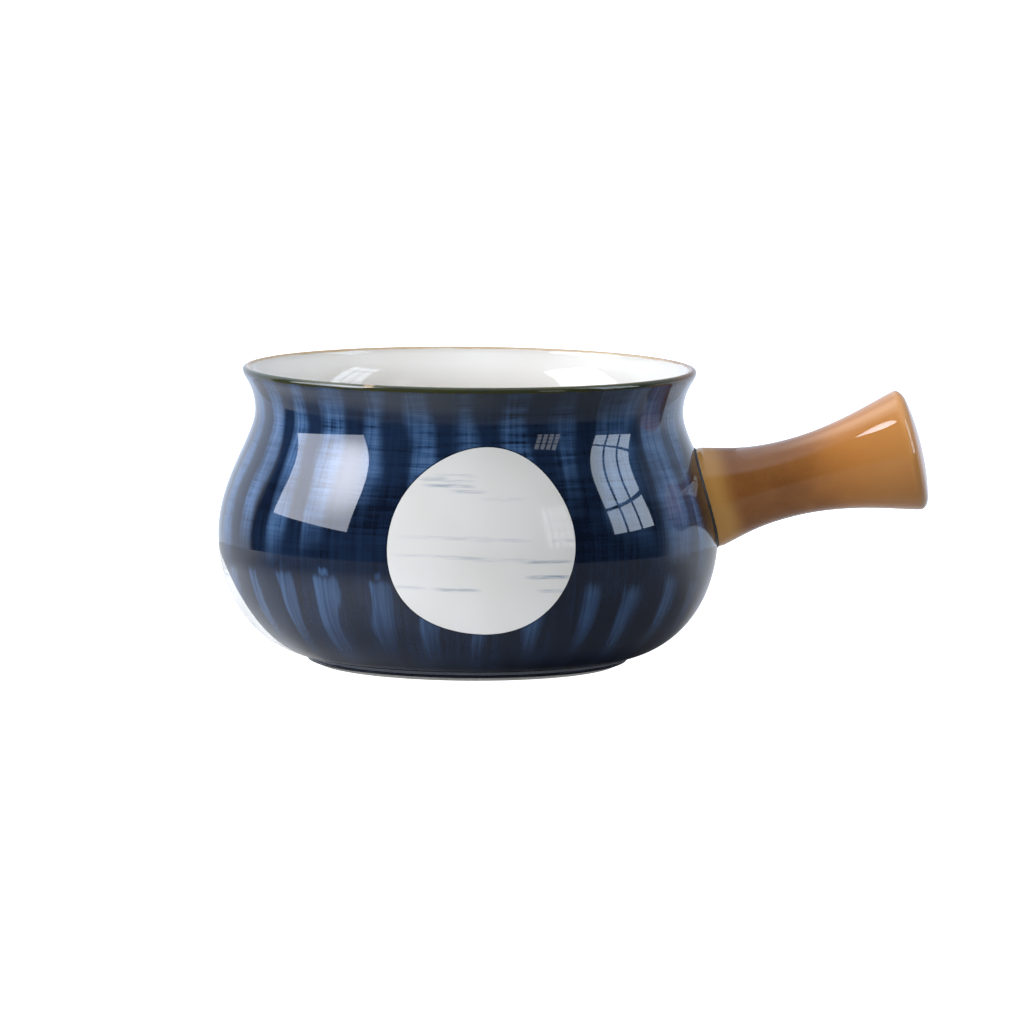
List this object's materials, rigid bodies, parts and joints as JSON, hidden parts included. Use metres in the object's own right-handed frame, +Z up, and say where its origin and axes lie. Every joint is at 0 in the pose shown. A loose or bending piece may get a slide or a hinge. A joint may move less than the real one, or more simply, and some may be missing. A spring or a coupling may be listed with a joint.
{
  "type": "soup bowl",
  "caption": "Round-bellied stoneware soup bowl with a straight flared handle on one side, brushed blue glaze with large white dots, white inside and a brown lip.",
  "frame": {"origin": "on the table, under the middle of the whole length from the belly's far side to the handle's tip", "axes": "+X along the length towards the handle's end, +Z up"},
  "size_m": [0.1986, 0.14, 0.083],
  "materials": {
    "stoneware": "bare fired clay, matt",
    "white_glaze": "glossy",
    "blue_glaze": "glossy, brushed in upright stripes",
    "dot_glaze": "glossy, with thin brush streaks",
    "brown_glaze": "glossy",
    "navy_glaze": "glossy",
    "caramel_glaze": "glossy"
  },
  "bodies": {
    "root": {"bowl_body": "stoneware", "inner_glaze": "white_glaze", "outer_glaze": "blue_glaze", "dot_front": "dot_glaze", "dot_left": "dot_glaze", "dot_back": "dot_glaze", "rim_band": "brown_glaze", "foot_band": "navy_glaze", "base_glaze": "white_glaze", "handle_slip": "stoneware", "handle_core": "stoneware", "handle_glaze": "caramel_glaze"}
  },
  "joints": []
}
